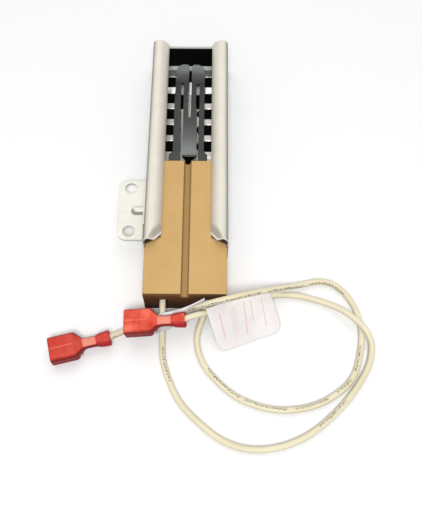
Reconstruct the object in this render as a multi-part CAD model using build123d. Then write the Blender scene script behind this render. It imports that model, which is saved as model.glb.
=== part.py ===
from build123d import *
import os
from math import sqrt, tan, radians, hypot

# Flat hot-surface igniter with side bracket, guard channel and two terminated leads.
# Millimetres.  The igniter lies on its back: +Y runs from the leads to the tip,
# +X to the right seen from above with the tip away, +Z up from the supporting surface.
# Pieces are drawn about the channel's centre line with Y = 0 at the lead end of the
# ceramic block, then shifted so that the origin is under the middle of the igniter.

# ---------------------------------------------------------------- driving dimensions
SHIFT_X, SHIFT_Y = 5.2, -52.4        # channel frame -> part frame

SHEET = 0.5                          # stainless sheet of channel and rear cover
FLOOR_Z = 0.5                        # underside of the channel floor (on the rear cover)
CH_HALF = 14.35                      # outer half width of the channel
CH_TIP = 103.85                      # tip end of the channel
CH_LIP_END = 18.4                    # lead end of the walls and lips
CH_FLOOR_END = 13.0                  # lead end of the channel floor
LIP_IN = 8.3                         # half width of the open front between the lips
LIP_Z = 12.1                         # lower edge of the turned-down lip
LIP_APEX_X = 12.2                    # where the arched lip is highest
LIP_R_IN = 3.9                       # inner quarter arc of the lip
LIP_R_OUT = 2.15                     # outer corner of the lip
CORNER_R = 1.0                       # bend between floor and wall

SLOT_H = 4.8                         # ladder slots, length along Y
SLOT_PITCH = 7.5
SLOT_Y0 = 65.25
SLOT_ROWS = 4
SPINE_L, SPINE_R = 3.55, 2.45          # edges of the central spine
SPINE_L2, SPINE_R2 = 2.85, 2.05        # the same beside the row nearest the tip
SLOT_OUT = 12.0
TOP_OPEN = (93.2, 101.7)             # open field nearest the tip
STUB_L, STUB_R, STUB_TOP = 4.4, 4.0, 95.7    # end of the spine in that field
TAB_IN, TAB_LEN, TAB_RISE = 5.0, 4.3, 1.0

COVER_HALF = 13.2
COVER_WALL_T = 0.8
COVER_WALL_Z = 11.5

BLOCK_HALF = 13.75                   # inside the channel
BLOCK_HALF_MID, BLOCK_HALF_END = 14.05, 13.87   # outside it, from the shoulder to the lead end
BLOCK_SHOULDER = 17.7
BLOCK_LEN = 52.0
BLOCK_Z0, BLOCK_Z1 = 1.02, 12.0
BLOCK_STEP = 12.8                    # nearer the leads than this the block reaches down to the support
GROOVE_R = 1.25
CAV_X0, CAV_X1 = 2.6, 10.2           # inner cavities
CAV_Z0, CAV_Z1 = 3.8, 9.4
CAV_Y0 = 8.0
LEAD_AX = {-1: 7.49, 1: 7.19}         # lead centre lines from the channel's centre
HOLE_X = 7.0
LEAD_Y0 = 5.6                        # where the sleeved leads begin inside the block
LEAD_Z = 6.5
HOLE_R = 1.8

ELEM_Z = 6.5                         # mid plane of the element
ELEM_T = 1.3
ELEM_TOP = 99.4
LEG_OUT = {-1: 6.0, 1: 5.5}          # outer edges of the legs
LEG_IN = {-1: 3.32, 1: 3.45}         # inner edges of the legs
BAR_HALF_L, BAR_HALF_R = 2.5, 2.7    # edges of the middle bar
ELEM_SLIT_TOP = {-1: 90.6, 1: 90.0}  # closed ends of the two side slits
ELEM_SLIT_LOW = 74.3                 # closed end of the middle slit
ELEM_BAR_END = 57.5
LEG_END = 44.0

BR_T = 0.8                           # bracket sheet
BR_Z = 6.5                           # top of the bracket's ear
BR_X0 = -24.75
BR_Y0, BR_Y1 = 22.8, 46.6
BR_HOLE_D = 4.3
BR_HOLE_X = -20.4
BR_HOLE_PITCH = 17.2
BR_HOLE_YC = 34.75
RIB_Y, RIB_X0, RIB_R, RIB_Z = 34.3, -18.3, 1.65, 6.4
BR_FL_Y0, BR_FL_Y1 = 26.4, 44.4
BR_FL_TOP = 11.4

WIRE_D = 2.1
CORE_D = 1.15

# Routes of the two leads' centre lines, in the part frame.
LEFT_ROUTE = [
    (-2.29, -46.8, 6.5), (-2.29, -52.1, 6.5), (-2.29, -57.1, 4.5), (-2.35, -62.9, 1.06),
    (-2.1, -70.63, 1.06), (0.24, -77.65, 1.06), (3.72, -84.86, 1.06), (9.35, -90.75, 1.06),
    (17.74, -97.43, 1.06), (26.95, -100.01, 1.06), (36.76, -98.86, 1.06), (45.8, -94.93, 1.06),
    (53.66, -88.55, 1.06), (60.25, -81.69, 1.06), (66.88, -71.59, 1.06), (67.53, -62.92, 6.3),
    (60.62, -55.04, 6.3), (52.59, -50.08, 1.06), (42.12, -47.34, 1.06), (32.36, -47.96, 1.06),
    (23.7, -51.95, 1.6), (15.4, -55.0, 4.6), (9.6, -57.25, 7.6), (4.16, -59.56, 8.46),
]
RIGHT_ROUTE = [
    (12.39, -46.8, 6.5), (12.39, -52.1, 6.5), (11.5, -56.2, 2.4), (8.83, -62.6, 1.06),
    (10.42, -71.16, 1.06), (16.09, -78.27, 1.06), (23.32, -84.1, 1.06), (34.22, -87.54, 1.06),
    (44.55, -86.85, 1.06), (53.03, -83.45, 1.06), (60.89, -77, 1.06), (63.86, -67.34, 1.06),
    (65.07, -57.85, 1.06), (61.14, -47.27, 1.06), (53.68, -41.65, 1.06), (43.46, -44.19, 1.06),
    (34.0, -48.1, 7.3), (24.6, -52.0, 12.0), (17.3, -54.06, 12.4), (10.4, -54.6, 8.8),
    (3.2, -55.2, 3.3), (-5.0, -56.9, 1.06), (-13.2, -60.2, 1.06), (-20.85, -64.55, 3.15),
]

# Terminals: barrel end and mouth of each housing's axis, in the part frame.
TERM_LEFT = ((5.75, -59.5, 8.65), (-14.5, -60.25, 6.2))
TERM_RIGHT = ((-19.3, -64.15, 3.15), (-38.5, -69.1, 3.15))
BODY_W, BODY_H, BODY_L = 8.6, 6.0, 8.6
SHOULDER_L, NECK_L, BARREL_L = 2.4, 4.6, 4.6
NECK_R, BARREL_R0, BARREL_R1 = 1.95, 1.95, 2.45
BORE_R = 1.3
LEAD_IN = 1.95                       # how far a lead reaches into its barrel

os.makedirs("parts", exist_ok=True)
SHIFT = Location((SHIFT_X, SHIFT_Y, 0))


def write(shape, name, shift=True):
    if shift:
        shape = SHIFT * shape
    solids = shape.solids()
    shape = solids[0] if len(solids) == 1 else Compound(children=list(solids))
    shape.label = name
    export_step(shape, "parts/" + name + ".step")
    return shape


def xz_prism(face, y0, y1):
    """A face drawn in (x, z) pushed from y1 down to y0."""
    plane = Plane(origin=(0, y1, 0), x_dir=(1, 0, 0), z_dir=(0, -1, 0))
    return extrude(plane * face, y1 - y0)


def box(x0, x1, y0, y1, z0, z1):
    return Pos((x0 + x1) / 2, (y0 + y1) / 2, (z0 + z1) / 2) * Box(x1 - x0, y1 - y0, z1 - z0)


def both_sides(shape):
    return [shape, mirror(shape, about=Plane.YZ)]


# ---------------------------------------------------------------- guard channel
def channel_outline(inset):
    """Closed outline of the arched channel, moved inwards by inset."""
    h = CH_HALF - inset
    z0 = FLOOR_Z + inset
    r = CORNER_R - inset
    az = LIP_Z
    ri, ro = LIP_R_IN - inset, LIP_R_OUT - inset
    top = az + ri
    out_z = top - ro
    k = sqrt(0.5)
    xe = h - ro - ri
    right = [
        Line((-(h - r), z0), (h - r, z0)),
        ThreePointArc((h - r, z0), (h - r + r * k, z0 + r - r * k), (h, z0 + r)),
        Line((h, z0 + r), (h, out_z)),
        ThreePointArc((h, out_z), (h - ro + ro * k, out_z + ro * k), (h - ro, top)),
        ThreePointArc((h - ro, top), (h - ro - ri * k, az + ri * k), (xe, az)),
        Line((xe, az), (-xe, az)),
        ThreePointArc((-xe, az), (-(h - ro - ri * k), az + ri * k), (-(h - ro), top)),
        ThreePointArc((-(h - ro), top), (-(h - ro + ro * k), out_z + ro * k), (-h, out_z)),
        Line((-h, out_z), (-h, z0 + r)),
        ThreePointArc((-h, z0 + r), (-(h - r + r * k), z0 + r - r * k), (-(h - r), z0)),
    ]
    return make_face(Curve(children=right).edges())


outer = xz_prism(channel_outline(0.0), CH_FLOOR_END, CH_TIP)
inner = xz_prism(channel_outline(SHEET), CH_FLOOR_END - 1, CH_TIP + 1)

# The crimped lower corner of each lip: a flat facet that slopes down to the block.
f1 = Vector(LIP_IN, 25.6, 13.6)
f2 = Vector(LIP_APEX_X - 0.2, 19.8, 15.6)
f3 = Vector(LIP_IN, 22.6, 12.4)
normal = (f2 - f1).cross(f3 - f1).normalized()
if normal.Z < 0:
    normal = normal * -1


def facet_tool(depth):
    plane = Plane(origin=f1 - normal * depth, z_dir=normal)
    slab = plane * Box(60, 60, 20, align=(Align.CENTER, Align.CENTER, Align.MIN))
    return slab & box(7.0, 14.2, 10, 31, 11.8, 20)


for tool in both_sides(facet_tool(0.0)):
    outer = outer - tool
for tool in both_sides(facet_tool(SHEET)):
    inner = inner - tool

channel = outer - inner - box(-LIP_IN, LIP_IN, 0, 120, FLOOR_Z + SHEET + 0.2, 30)
# walls and lips stop short of the floor's lead end, on a slanted line
end_cut = Polygon((-20, 0), (20, 0), (20, CH_LIP_END - 0.1), (CH_HALF + 0.1, CH_LIP_END), (LIP_IN + 2.4, CH_LIP_END + 0.9),
                  (LIP_IN - 0.1, 22.6), (-LIP_IN + 0.1, 22.6), (-LIP_IN - 2.4, CH_LIP_END + 0.9),
                  (-CH_HALF - 0.1, CH_LIP_END), (-20, CH_LIP_END - 0.1), align=None)
channel = channel - Pos(0, 0, 11.9) * extrude(end_cut, 20)
channel = channel - box(-20, 20, 0, CH_LIP_END - 0.1, FLOOR_Z + SHEET + 0.01, 12.0)
channel = channel - box(-13.72, 13.72, 17, 32, 5, 12.03)
channel = channel - box(CH_HALF - 1.1, 20, 0, CH_LIP_END - 0.1, 0, 3) - box(-20, -CH_HALF + 1.1, 0, CH_LIP_END - 0.1, 0, 3)

# ladder slots with round inner ends beside the central spine
floor_cut = []
r = SLOT_H / 2
for i in range(SLOT_ROWS):
    yc = SLOT_Y0 + i * SLOT_PITCH
    for side, edge in ((1, SPINE_R), (-1, SPINE_L)):
        x0, x1 = sorted((side * (edge + r), side * SLOT_OUT))
        floor_cut.append(box(x0, x1, yc - r, yc + r, 0, 2) + Pos(side * (edge + r), yc, 1) * Cylinder(r, 2))
# narrow slits that part the last rung from the spine and run into the last row
y_last = SLOT_Y0 + (SLOT_ROWS - 1) * SLOT_PITCH
floor_cut.append(box(SPINE_R2, SPINE_R + 1.2, y_last - SLOT_PITCH + r - 0.1, y_last + r - 0.4, 0, 2))
floor_cut.append(box(-SPINE_L - 0.9, -SPINE_L2, y_last - SLOT_PITCH + r - 0.1, y_last + r - 0.4, 0, 2))
# funnel-shaped hole under the end of the element's middle bar
floor_cut.append(extrude(Polygon((-2.75, 61.2), (-2.7, 60.25), (-1.45, 58.9), (-1.35, 56.6), (0.7, 56.6), (0.75, 58.9),
                                 (2.5, 60.25), (2.65, 61.2), align=None), 2))
# the open field nearest the tip, with the end of the spine standing in it
field = box(-SLOT_OUT, SLOT_OUT, TOP_OPEN[0], TOP_OPEN[1], 0, 2) - box(-STUB_L, STUB_R, 90, STUB_TOP, 0, 2)
floor_cut.append(field)
for tool in floor_cut:
    channel = channel - tool
# two louver tabs that rise from the tip-side edge of that field
tab_y = TOP_OPEN[1]
z_t = FLOOR_Z + SHEET
tab = extrude(Plane(origin=(TAB_IN, 0, 0), x_dir=(0, 1, 0), z_dir=(1, 0, 0)) * Polygon(
    (tab_y + 0.3, z_t), (tab_y - TAB_LEN, z_t + TAB_RISE), (tab_y - TAB_LEN, z_t + TAB_RISE - 0.5),
    (tab_y + 0.3, z_t - 0.5), align=None), SLOT_OUT - 0.4 - TAB_IN)
for t in both_sides(tab):
    channel = channel + t
channel = channel.solids().sort_by(SortBy.VOLUME)[-1]
write(channel, "shield_channel")

# ---------------------------------------------------------------- rear cover
cover = box(-COVER_HALF, COVER_HALF, CH_FLOOR_END, CH_TIP + COVER_WALL_T, 0, FLOOR_Z)
cover = cover + box(-COVER_HALF, COVER_HALF, CH_TIP, CH_TIP + COVER_WALL_T, 0, COVER_WALL_Z)
cover = fillet(cover.edges().filter_by(Axis.Z).group_by(Axis.Y)[0], 1.5)
write(cover, "rear_cover_plate")

# ---------------------------------------------------------------- side bracket
fx = -CH_HALF                       # flange lies on the channel's left wall
ear_profile = Polygon((BR_X0, BR_Z - BR_T), (fx, BR_Z - BR_T), (fx, BR_FL_TOP), (fx - BR_T, BR_FL_TOP),
                      (fx - BR_T, BR_Z), (BR_X0, BR_Z), align=None)
bracket = xz_prism(ear_profile, BR_Y0, BR_Y1)
bracket = bracket - box(fx - BR_T - 0.05, fx + 1, BR_Y0 - 1, BR_FL_Y0, BR_Z + 0.6, 20)
bracket = bracket - box(fx - BR_T - 0.05, fx + 1, BR_FL_Y1, BR_Y1 + 1, BR_Z + 0.6, 20)
# the ear's free edge leans slightly
bracket = bracket - Pos(0, 0, BR_Z - 3) * extrude(Polygon((-30, 15), (BR_X0 + 0.75, 15), (BR_X0 + 0.05, BR_Y1), (BR_X0 + 0.02, 50),
                                                          (-30, 50), align=None), 6)
corner = [e for e in bracket.edges() if e.center().X < BR_X0 + 1.2 and abs(e.length - BR_T) < 0.01
          and abs(e.tangent_at(0.5).Z) > 0.99]
bracket = fillet(corner, 2.8)
bracket = fillet(bracket.edges().filter_by(Axis.Y).sort_by_distance((fx - BR_T, BR_HOLE_YC, BR_Z))[0], 0.6)
bracket = fillet(bracket.edges().filter_by(Axis.Y).sort_by_distance((fx, BR_HOLE_YC, BR_Z - BR_T))[0], 1.0)
rib_x1 = fx - 0.3
rib = Pos((RIB_X0 + rib_x1) / 2, RIB_Y, RIB_Z) * Rot(0, 90, 0) * Cylinder(RIB_R, rib_x1 - RIB_X0)
rib = rib + Pos(RIB_X0, RIB_Y, RIB_Z) * Sphere(RIB_R)
rib = rib & box(-25, fx - 0.1, RIB_Y - 3, RIB_Y + 3, BR_Z - 0.3, 12)
bracket = bracket + rib
for s in (-1, 1):
    bracket = bracket - Pos(BR_HOLE_X, BR_HOLE_YC + s * BR_HOLE_PITCH / 2, BR_Z) * Cylinder(BR_HOLE_D / 2, 6)
write(bracket, "mounting_bracket")

welds = []
for s in (-1, 1):
    welds.append(Pos(fx - BR_T - 0.1, BR_HOLE_YC + s * 5.6, 9.2) * Rot(0, 90, 0) * Cylinder(1.1, 0.2))
write(Compound(children=welds), "bracket_weld_marks")

# ---------------------------------------------------------------- ceramic block
plan = Polygon((-BLOCK_HALF_END, 0), (BLOCK_HALF_END, 0), (BLOCK_HALF_MID, BLOCK_SHOULDER), (BLOCK_HALF, BLOCK_SHOULDER),
               (BLOCK_HALF, BLOCK_LEN), (-BLOCK_HALF, BLOCK_LEN), (-BLOCK_HALF, BLOCK_SHOULDER),
               (-BLOCK_HALF_MID, BLOCK_SHOULDER), align=None)
block = Pos(0, 0, BLOCK_Z0) * extrude(plan, BLOCK_Z1 - BLOCK_Z0)
block = fillet(block.edges().group_by(Axis.Z)[-1].sort_by(Axis.Y)[0], 0.9)
block = fillet([e for e in block.edges().group_by(Axis.Z)[-1] if e.center().Y > 2], 0.45)
block = fillet(block.edges().group_by(Axis.Z)[0].filter_by(lambda e: abs(e.center().X) > 13), 0.6)
foot = extrude(plan, 3) & box(-20, 20, -1, BLOCK_STEP, -1, 5)
foot = fillet([e for e in foot.edges().group_by(Axis.Z)[0] if abs(e.center().X) > 13], 0.6)
block = block + foot
block = block - Pos(0, BLOCK_LEN / 2, BLOCK_Z1 + 0.1) * Rot(90, 0, 0) * Cylinder(GROOVE_R, BLOCK_LEN + 4)
notch = Polygon((-1.5, BLOCK_LEN + 0.1), (-1.0, BLOCK_LEN - 0.75), (-0.6, BLOCK_LEN - 1.1), (0.45, BLOCK_LEN - 1.1),
                (0.85, BLOCK_LEN - 0.75), (1.35, BLOCK_LEN + 0.1), align=None)
block = block - Pos(0, 0, BLOCK_Z1 - 5.0) * extrude(notch, 8)
for s in (-1, 1):
    x0, x1 = sorted((s * CAV_X0, s * CAV_X1))
    block = block - box(x0, x1, CAV_Y0, BLOCK_LEN + 1, CAV_Z0, CAV_Z1)
    block = block - Pos(s * HOLE_X, CAV_Y0 / 2, LEAD_Z) * Rot(90, 0, 0) * Cylinder(HOLE_R, CAV_Y0 + 2)
write(block, "ceramic_block")

# ---------------------------------------------------------------- element
elem_face = Polygon(
    (-LEG_OUT[-1], LEG_END), (-LEG_IN[-1], LEG_END), (-LEG_IN[-1], 76.8), (-LEG_IN[-1] - 0.33, 79.4),
    (-LEG_IN[-1] - 0.33, ELEM_SLIT_TOP[-1]), (-BAR_HALF_L, ELEM_SLIT_TOP[-1]), (-BAR_HALF_L, ELEM_BAR_END + 0.4),
    (-BAR_HALF_L + 0.4, ELEM_BAR_END), (BAR_HALF_R - 0.3, ELEM_BAR_END), (BAR_HALF_R + 0.05, ELEM_BAR_END + 0.4),
    (BAR_HALF_R, 77.4), (BAR_HALF_R - 0.45, 79.6), (BAR_HALF_R - 0.45, ELEM_SLIT_TOP[1]),
    (LEG_IN[1] + 0.17, ELEM_SLIT_TOP[1]), (LEG_IN[1] + 0.17, 79.4), (LEG_IN[1], 76.8), (LEG_IN[1], LEG_END),
    (LEG_OUT[1], LEG_END), (LEG_OUT[1], 95.4), (5.25, 97.0), (4.75, 98.2), (3.1, ELEM_TOP - 0.05), (1.0, ELEM_TOP - 0.05),
    (0.4, ELEM_TOP - 1.5), (0.42, 85.0), (0.33, ELEM_SLIT_LOW), (-0.57, ELEM_SLIT_LOW), (-0.75, 85.0),
    (-0.6, ELEM_TOP - 1.3), (-1.1, ELEM_TOP + 0.05), (-3.4, ELEM_TOP + 0.05), (-4.9, 98.5), (-5.45, 97.2), (-5.68, 95.4),
    (-5.95, 80.0), align=None)
element = Pos(0, 0, ELEM_Z - ELEM_T / 2) * extrude(elem_face, ELEM_T)
upright = element.edges().filter_by(Axis.Z)
element = fillet([e for e in upright if e.center().Y > 95 and abs(e.center().X) > 2.5], 0.7)
ends = [e for e in element.edges().filter_by(Axis.Z)
        if (88 < e.center().Y < 91 and abs(e.center().X) > 2) or abs(e.center().Y - ELEM_SLIT_LOW) < 0.01]
element = fillet(ends, 0.4)
write(element, "sic_element")

# ---------------------------------------------------------------- inside the block
T2 = ELEM_T / 2
for s, side in ((-1, "left"), (1, "right")):
    li, h, lx = LEG_IN[s], LEG_OUT[s], LEAD_AX[s]

    def sbox(a, b, y0, y1, z0, z1):
        x0, x1 = sorted((s * a, s * b))
        return box(x0, x1, y0, y1, z0, z1)

    pad_plan = Polygon((li, 48.0), (h + 1.3, 48.0), (h + 1.3, 57.2), (h + 0.2, 58.4), (li + 0.5, 58.4), (li, 57.7), align=None)
    pad = Pos(0, 0, ELEM_Z - 1.15) * extrude(pad_plan, 2.3)
    if s < 0:
        pad = mirror(pad, about=Plane.YZ)
    pad = pad - sbox(li - 0.1, h, 40, 60, ELEM_Z - T2, ELEM_Z + T2)
    write(pad, side + "_contact_pad")

    clip = sbox(li - 0.5, h + 0.6, 40.2, 46.4, ELEM_Z - T2 - 0.5, ELEM_Z + T2 + 0.5)
    clip = clip - sbox(li, h, LEG_END, 47, ELEM_Z - T2, ELEM_Z + T2)
    clip = clip + Pos(s * lx, 36.9, LEAD_Z) * Rot(90, 0, 0) * Cylinder(1.35, 7.0)
    clip = clip + sbox(h - 1.4, lx + 0.4, 38.0, 41.0, ELEM_Z - 0.9, ELEM_Z + 0.9)
    clip = clip - Pos(s * lx, 35.9, LEAD_Z) * Rot(90, 0, 0) * Cylinder(CORE_D / 2, 7.0)
    write(clip, side + "_lead_clip")

    core = Pos(s * lx, (LEAD_Y0 + 39.4) / 2, LEAD_Z) * Rot(90, 0, 0) * Cylinder(CORE_D / 2, 39.4 - LEAD_Y0)
    write(core, side + "_inner_conductor")

plugs_front, plugs_rear = [], []
for s in (-1, 1):
    x0, x1 = sorted((s * CAV_X0, s * CAV_X1))
    front = box(x0, x1, 48.6, BLOCK_LEN - 0.2, CAV_Z0, CAV_Z1)
    a, b = sorted((s * LEG_IN[s], s * (LEG_OUT[s] + 1.3)))
    front = front - box(a, b, 47, 60, ELEM_Z - 1.15, ELEM_Z + 1.15)
    plugs_front.append(front)
    rear = box(x0, x1, CAV_Y0, 12.5, CAV_Z0, CAV_Z1)
    rear = rear - Pos(s * LEAD_AX[s], 12, LEAD_Z) * Rot(90, 0, 0) * Cylinder(CORE_D / 2, 12)
    plugs_rear.append(rear)
write(Compound(children=plugs_front), "element_cement_plugs")
write(Compound(children=plugs_rear), "lead_cement_plugs")


# ---------------------------------------------------------------- leads
def cord(points, name):
    pts = [Vector(*p) for p in points]
    radii = []
    for a, b, c in zip(pts, pts[1:], pts[2:]):
        turn = (b - a).get_angle(c - b)
        radii.append(0.45 * min((b - a).length, (c - b).length) / tan(radians(turn) / 2))
    path = FilletPolyline(*pts, radius=radii)
    start = Plane(origin=pts[0], z_dir=(pts[1] - pts[0]).normalized())
    tube = sweep(start * Circle(WIRE_D / 2), path=path)
    length = path.length
    ratio = tube.volume / (3.14159265 * WIRE_D ** 2 / 4 * length)
    print(name, "length %.1f" % length, "volume / (section x length) %.4f" % ratio,
          "radii", " ".join("%.1f" % r for r in radii), "lowest z %.3f" % tube.bounding_box().min.Z)
    write(tube, name, shift=False)
    return path


cord(LEFT_ROUTE, "left_lead")
cord(RIGHT_ROUTE, "right_lead")


# ---------------------------------------------------------------- terminals
def terminal(ends, side, roll):
    """Housing, receptacle, ferrule and conductor end along the axis from barrel to mouth."""
    p0, p1 = Vector(*ends[0]), Vector(*ends[1])
    ax = (p1 - p0).normalized()
    up = Vector(0, 0, 1)
    across = up.cross(ax).normalized()
    frame = Plane(origin=p0, x_dir=across, z_dir=ax).rotated((0, 0, roll))
    total = BARREL_L + NECK_L + SHOULDER_L + BODY_L
    z1 = BARREL_L
    z2 = z1 + NECK_L
    z3 = z2 + SHOULDER_L
    z4 = total
    barrel = loft([Plane.XY * Circle(BARREL_R1), Pos(0, 0, z1) * Circle(BARREL_R0)])
    neck = Pos(0, 0, (z1 + z2) / 2) * Cylinder(NECK_R, z2 - z1)
    shoulder = loft([Pos(0, 0, z2) * Circle(NECK_R), Pos(0, 0, z3) * RectangleRounded(BODY_W, BODY_H, 1.3)])
    body = Pos(0, 0, z3) * extrude(RectangleRounded(BODY_W, BODY_H, 1.3), z4 - z3)
    shell = barrel + neck + shoulder + body
    # bore of the barrel and neck, then the flat pocket of the receptacle, open at the mouth
    shell = shell - Pos(0, 0, (z2 + 1) / 2 - 0.5) * Cylinder(BORE_R, z2 + 2)
    shell = shell - loft([Pos(0, 0, -0.5) * Circle(2.1), Pos(0, 0, 3.4) * Circle(BORE_R)])
    shell = shell - Pos(0, 0, (z2 + z4) / 2) * Box(7.3, 3.1, z4 - z2 - 1.0)
    shell = shell - Pos(0, 0, z4 - 0.5) * Box(7.3, 3.9, 1.4)
    write(frame * shell, side + "_terminal_insulator", shift=False)
    # female spade: flat floor with two rolled rails, and a crimp tongue
    rec = Pos(0, -1.05, (z2 + 0.9 + z4 - 1.2) / 2) * Box(7.0, 0.8, z4 - z2 - 2.1)
    for s in (-1, 1):
        rail = Pos(s * 2.7, -0.1, (z2 + 2.2 + z4 - 1.2) / 2) * Box(1.6, 2.4, z4 - z2 - 3.4)
        rail = rail - Pos(s * 2.1, -0.25, (z2 + z4) / 2) * Box(1.3, 0.9, z4 - z2 + 2)
        rec = rec + rail
    rec = rec - Pos(0, -1.05, z4 - 4.2) * Rot(90, 0, 0) * Cylinder(0.9, 2)
    rec = rec + Pos(0, -0.85, z2 + 0.3) * Box(1.2, 0.5, 1.8)
    write(frame * rec, side + "_receptacle", shift=False)
    ferrule = Pos(0, 0, z1 + 0.2 + 2.2) * (Cylinder(BORE_R - 0.02, 4.4) - Cylinder(CORE_D / 2 + 0.02, 5))
    ferrule = ferrule - (frame.location.inverse() * (frame * rec))
    write(frame * ferrule, side + "_crimp_ferrule", shift=False)
    cond = Pos(0, 0, (LEAD_IN + z2 - 0.8) / 2) * Cylinder(CORE_D / 2, z2 - 0.8 - LEAD_IN)
    write(frame * cond, side + "_conductor_end", shift=False)


terminal(TERM_LEFT, "left", 0)
terminal(TERM_RIGHT, "right", 0)


# ---------------------------------------------------------------- paper tag
def ribbon(sections, t, name):
    """Thin sheet through pairs of points (far, near), with flat triangular faces."""
    top = [(Vector(*a), Vector(*b)) for a, b in sections]
    down = Vector(0, 0, -t)
    tri = []

    def quad(a, b, c, d):
        tri.append((a, b, c))
        tri.append((a, c, d))

    for (a, b), (c, d) in zip(top, top[1:]):
        quad(a, b, d, c)
        quad(a + down, c + down, d + down, b + down)
        quad(a, c, c + down, a + down)
        quad(b, b + down, d + down, d)
    a, b = top[0]
    quad(a, a + down, b + down, b)
    a, b = top[-1]
    quad(a, b, b + down, a + down)
    faces = [Face(Wire.make_polygon([p, q, r], close=True)) for p, q, r in tri]
    return write(Solid(Shell(faces)), name, shift=False)


TAG_T = 0.3
ribbon([((12.2, -55.45, 8.1), (16.84, -68.1, 0.6)),
        ((18.95, -52.75, 7.5), (22.3, -66.0, 0.4)),
        ((21.93, -50.95, 6.9), (24.3, -65.25, 0.4)),
        ((28.75, -48.4, 5.4), (31.13, -62.65, 0.4)),
        ((33.6, -46.61, 4.4), (38.19, -60.17, 0.8))], TAG_T, "lead_tag_flap")
ribbon([((11.75, -53.0, 11.6), (11.95, -53.6, 10.95)),
        ((7.1, -54.4, 8.6), (6.5, -55.9, 7.9)),
        ((2.2, -55.6, 6.9), (1.0, -61.0, 4.7)),
        ((-2.95, -56.6, 6.3), (-2.9, -62.4, 4.0)),
        ((-4.3, -57.0, 4.6), (-4.4, -62.7, 3.4)),
        ((-7.0, -58.0, 3.0), (-8.2, -63.6, 2.6))], 0.25, "lead_tag_tail")
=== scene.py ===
import math
import bpy
import bmesh
from mathutils import Matrix, Vector


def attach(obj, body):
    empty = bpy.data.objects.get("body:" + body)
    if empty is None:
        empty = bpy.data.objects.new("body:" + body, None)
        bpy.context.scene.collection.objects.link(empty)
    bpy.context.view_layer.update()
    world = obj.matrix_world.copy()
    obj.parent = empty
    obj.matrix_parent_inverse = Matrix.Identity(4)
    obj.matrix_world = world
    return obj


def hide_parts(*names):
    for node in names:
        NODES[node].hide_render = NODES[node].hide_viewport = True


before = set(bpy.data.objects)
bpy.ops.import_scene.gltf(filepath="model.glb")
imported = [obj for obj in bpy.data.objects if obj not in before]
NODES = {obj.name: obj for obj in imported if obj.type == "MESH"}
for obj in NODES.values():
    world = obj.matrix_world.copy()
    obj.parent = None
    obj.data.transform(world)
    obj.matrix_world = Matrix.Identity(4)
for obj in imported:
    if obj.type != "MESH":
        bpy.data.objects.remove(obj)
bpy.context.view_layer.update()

MM = 0.001


# ------------------------------------------------------------------ camera
cam_data = bpy.data.cameras.new("view_camera")
cam_data.sensor_fit = "VERTICAL"
cam_data.sensor_height = 36.0
cam_data.lens = 36.0 * 682.73 / 512.0
cam_data.clip_start = 0.01
cam_data.clip_end = 10.0
camera = bpy.data.objects.new("view_camera", cam_data)
bpy.context.scene.collection.objects.link(camera)
right = Vector((0.99996, 0.00873, 0.0)).normalized()
forward = Vector((-0.00364, 0.41703, -0.90887)).normalized()
up = right.cross(forward).normalized()
right = forward.cross(up).normalized()
camera.matrix_world = Matrix((
    (right.x, up.x, -forward.x, 0.01462),
    (right.y, up.y, -forward.y, -0.13363),
    (right.z, up.z, -forward.z, 0.22021),
    (0, 0, 0, 1)))
bpy.context.scene.camera = camera


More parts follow.
